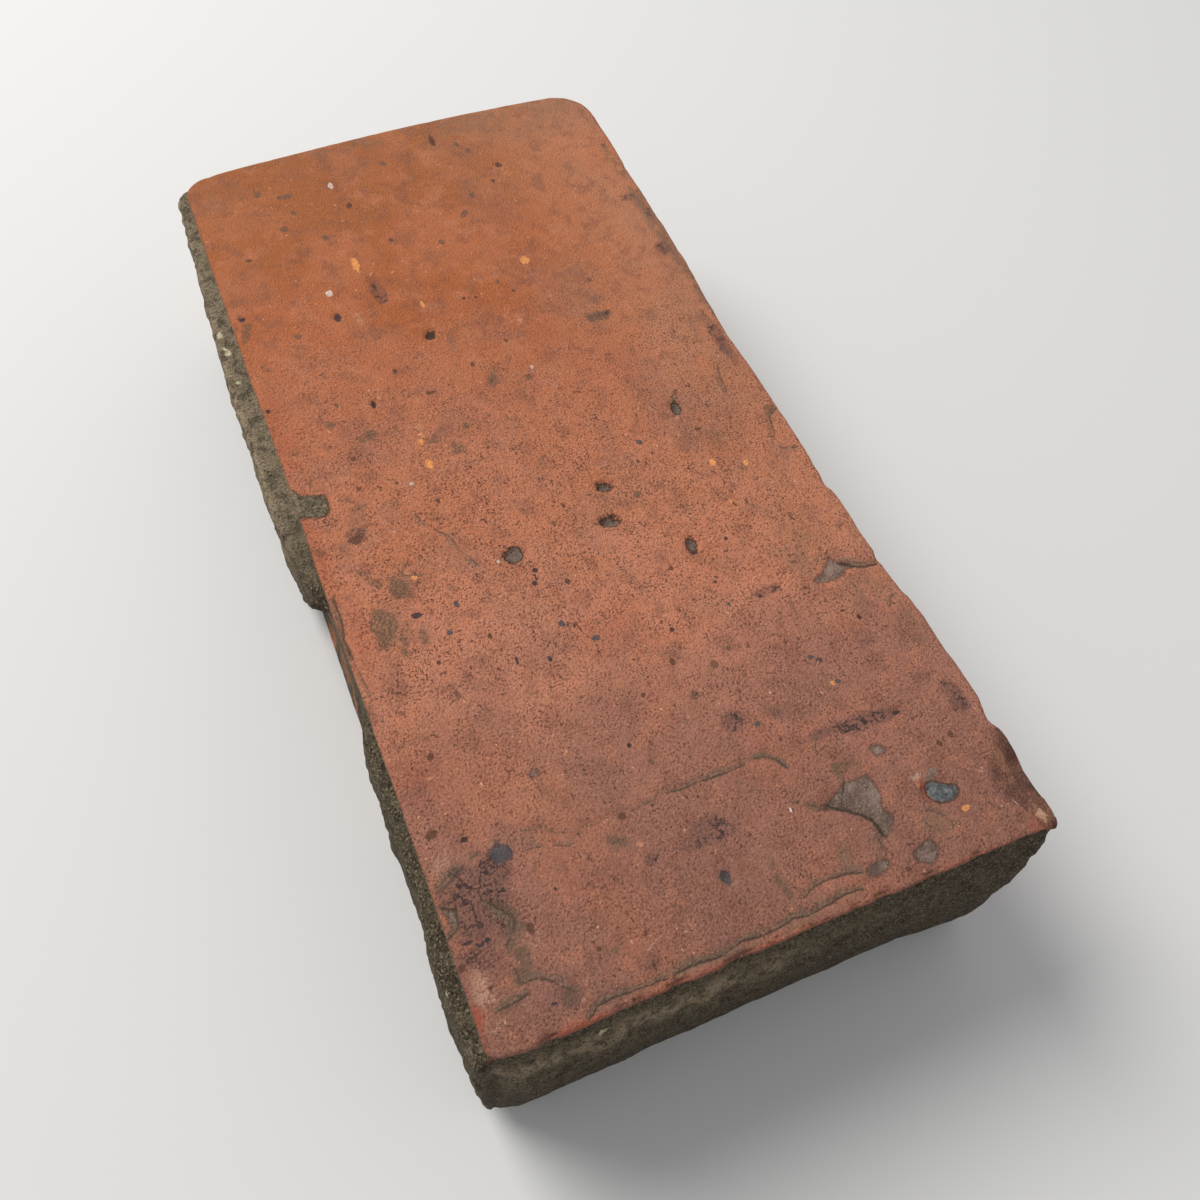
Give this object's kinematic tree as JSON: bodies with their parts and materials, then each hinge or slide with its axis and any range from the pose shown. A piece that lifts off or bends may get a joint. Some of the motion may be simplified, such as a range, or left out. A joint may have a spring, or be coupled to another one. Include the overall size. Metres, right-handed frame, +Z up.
{
  "type": "clay brick",
  "caption": "Old solid fired clay brick with flat bed faces, worn arrises and remains of mortar on one long side and one end, for walls and paving.",
  "frame": {"origin": "on the lower bed face's plane, below the middle of the brick's box, old mortar included", "axes": "+X along the brick towards its rounded, out of square end, +Y across it towards the long side with the old mortar, +Z up, square to the bed faces"},
  "size_m": [0.2146, 0.1062, 0.05],
  "materials": {
    "fired_clay": "matt, unglazed, porous, with dirt and old grey-brown mortar"
  },
  "bodies": {
    "root": {"brick": "fired_clay"}
  },
  "joints": []
}
